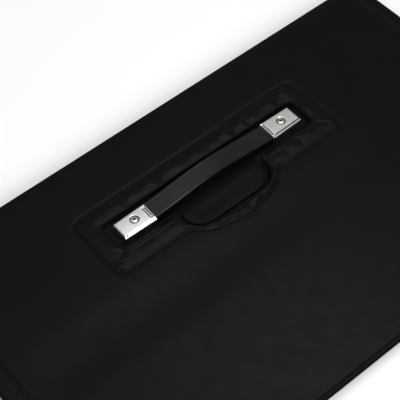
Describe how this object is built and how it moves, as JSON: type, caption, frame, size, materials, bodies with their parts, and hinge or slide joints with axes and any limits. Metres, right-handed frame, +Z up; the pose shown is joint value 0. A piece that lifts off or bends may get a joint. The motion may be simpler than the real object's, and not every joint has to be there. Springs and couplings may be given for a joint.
{
  "type": "folding solar panel",
  "caption": "Book-folding solar panel, closed: soft leatherette halves with cells on their inner faces, a spine strip, and a strap handle with metal caps in a finger recess.",
  "frame": {"origin": "centre of the bottom of the closed panel, as it lies flat with its handle face up", "axes": "+X along the long edges, +Y across towards the spine edge, +Z up out of the handle face"},
  "size_m": [0.56, 0.34, 0.026],
  "materials": {
    "leatherette": "satin, fine grain",
    "tray_liner": "satin, smooth",
    "core_board": "matte, foamed",
    "pad_foam": "matte, open foam",
    "backsheet": "matte",
    "solar_cell": "dark blue-black, satin",
    "ribbon_metal": "tinned",
    "front_film": "clear, finely textured film",
    "chrome": "satin bright plating",
    "strap_vinyl": "satin, finely ribbed lengthways",
    "spring_steel": "bare",
    "magnet": "nickel plated",
    "box_plastic": "fine matte",
    "circuit_board": "satin",
    "grommet_rubber": "matte"
  },
  "bodies": {
    "lower_half": {"skin_lower": "leatherette", "core_board_lower": "core_board", "backsheet_lower": "backsheet", "cell_string_lower_near": "solar_cell", "cell_string_lower_far": "solar_cell", "row_link_lower": "ribbon_metal", "terminal_bar_lower_near": "ribbon_metal", "terminal_bar_lower_far": "ribbon_metal", "front_sheet_lower": "front_film", "closure_magnet_lower_left": "magnet", "closure_magnet_lower_right": "magnet", "junction_box": "box_plastic", "junction_lid": "box_plastic", "lid_screw_left": "spring_steel", "lid_screw_right": "spring_steel", "diode_board": "circuit_board", "bypass_diode_1": "box_plastic", "bypass_diode_2": "box_plastic", "lead_outlet": "grommet_rubber"},
    "spine": {"spine_skin": "leatherette", "crossover_ribbon": "ribbon_metal"},
    "upper_half": {"skin_upper": "leatherette", "core_board_upper": "core_board", "backsheet_upper": "backsheet", "cell_string_upper_near": "solar_cell", "cell_string_upper_far": "solar_cell", "row_link_upper": "ribbon_metal", "terminal_bar_upper_near": "ribbon_metal", "terminal_bar_upper_far": "ribbon_metal", "front_sheet_upper": "front_film", "closure_magnet_upper_left": "magnet", "closure_magnet_upper_right": "magnet", "recess_tray": "tray_liner", "recess_pad": "pad_foam", "handle_cap_left": "chrome", "handle_cap_right": "chrome", "cap_screw_left": "chrome", "cap_screw_right": "chrome", "anchor_plate_left": "spring_steel", "anchor_plate_right": "spring_steel"},
    "strap": {"strap_cover": "strap_vinyl", "strap_core": "spring_steel"}
  },
  "joints": [
    {"name": "lower_crease_fold", "type": "hinge", "parent": "lower_half", "child": "spine", "pos_m": [0, 0.16955, 0.00045], "axis": [-1, 0, 0], "range_deg": [0, 90]},
    {"name": "upper_crease_fold", "type": "hinge", "parent": "spine", "child": "upper_half", "pos_m": [0, 0.16955, 0.01605], "axis": [-1, 0, 0], "range_deg": [0, 90]},
    {"name": "strap_lift", "type": "slide", "parent": "upper_half", "child": "strap", "axis": [0, 0, 1], "range_m": [0, 0.012], "deforming": ["strap_cover", "strap_core"]}
  ]
}
